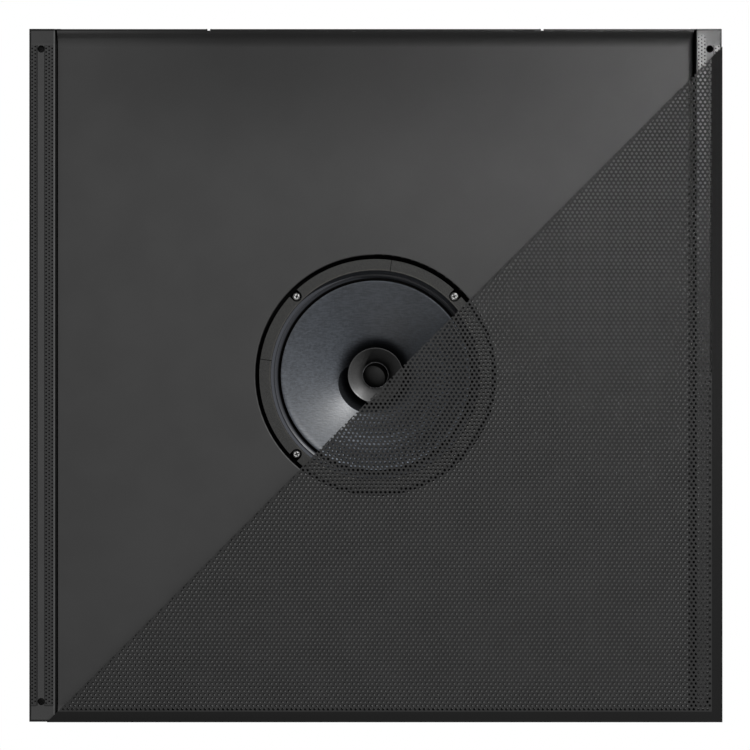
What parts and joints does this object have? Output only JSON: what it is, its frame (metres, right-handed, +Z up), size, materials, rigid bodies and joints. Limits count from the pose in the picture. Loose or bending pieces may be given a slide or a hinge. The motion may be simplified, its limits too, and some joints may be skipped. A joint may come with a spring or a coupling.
{
  "type": "ceiling tile speaker",
  "caption": "Square lay-in ceiling tile loudspeaker: shallow folded steel pan, round twin-cone driver in a pressed seat, and a perforated grille cut away along the diagonal.",
  "frame": {"origin": "centre of the tile's face, on the plane of the grille's front, which is its lowest plane", "axes": "+Z up into the ceiling void, away from the room; seen from the room, +X is to the right and +Y is down"},
  "size_m": [0.6029, 0.6029, 0.0848],
  "materials": {
    "pan_paint": "satin dark grey paint",
    "grille_paint": "matt dark grey paint",
    "grille_pad": "matt dimpled strip",
    "basket_paint": "black paint",
    "gasket_fibre": "grey fibre board",
    "surround_cloth": "doped cloth, semi-gloss",
    "cone_paper": "blue-grey pressed pulp",
    "whizzer_paper": "smooth grey paper",
    "cap_paper": "dark paper",
    "former_aluminium": "thin foil tube",
    "coil_copper": "enamelled copper wire",
    "spider_cloth": "resin-treated cloth",
    "plated_steel": "zinc plate",
    "ferrite": "dark grey ferrite",
    "terminal_board_card": "brown phenolic card",
    "lug_tin": "tinned brass",
    "screw_zinc": "bright zinc",
    "core_steel": "varnished laminations",
    "coil_tape": "amber winding tape",
    "rivet_aluminium": "dull",
    "block_plastic": "black moulding"
  },
  "bodies": {
    "tile": {"pan": "pan_paint", "grille": "grille_paint", "grille_pad_left_outer": "grille_pad", "grille_pad_left_inner": "grille_pad", "grille_pad_right_outer": "grille_pad", "grille_pad_right_inner": "grille_pad", "driver_basket": "basket_paint", "driver_gasket": "gasket_fibre", "surround": "surround_cloth", "spider": "spider_cloth", "magnet_front_plate": "plated_steel", "magnet_ring": "ferrite", "pole_plate": "plated_steel", "terminal_board": "terminal_board_card", "solder_lugs": "lug_tin", "terminal_board_rivet": "rivet_aluminium", "driver_screws": "screw_zinc", "driver_nuts": "screw_zinc", "transformer_core": "core_steel", "transformer_coil": "coil_tape", "transformer_bracket": "plated_steel", "transformer_rivets": "rivet_aluminium", "line_terminal_block": "block_plastic", "terminal_screws": "screw_zinc", "terminal_block_rivets": "rivet_aluminium", "hanger_tab_1": "plated_steel", "hanger_tab_2": "plated_steel", "hanger_tab_3": "plated_steel", "hanger_tab_4": "plated_steel"},
    "diaphragm": {"cone": "cone_paper", "whizzer_cone": "whizzer_paper", "dust_cap": "cap_paper", "voice_coil_former": "former_aluminium", "voice_coil": "coil_copper"}
  },
  "joints": [
    {"name": "diaphragm_travel", "type": "slide", "parent": "tile", "child": "diaphragm", "axis": [0, 0, 1], "range_m": [-0.002, 0.002], "stiffness_N_per_m": 2500, "deforming": ["surround", "spider"]}
  ]
}
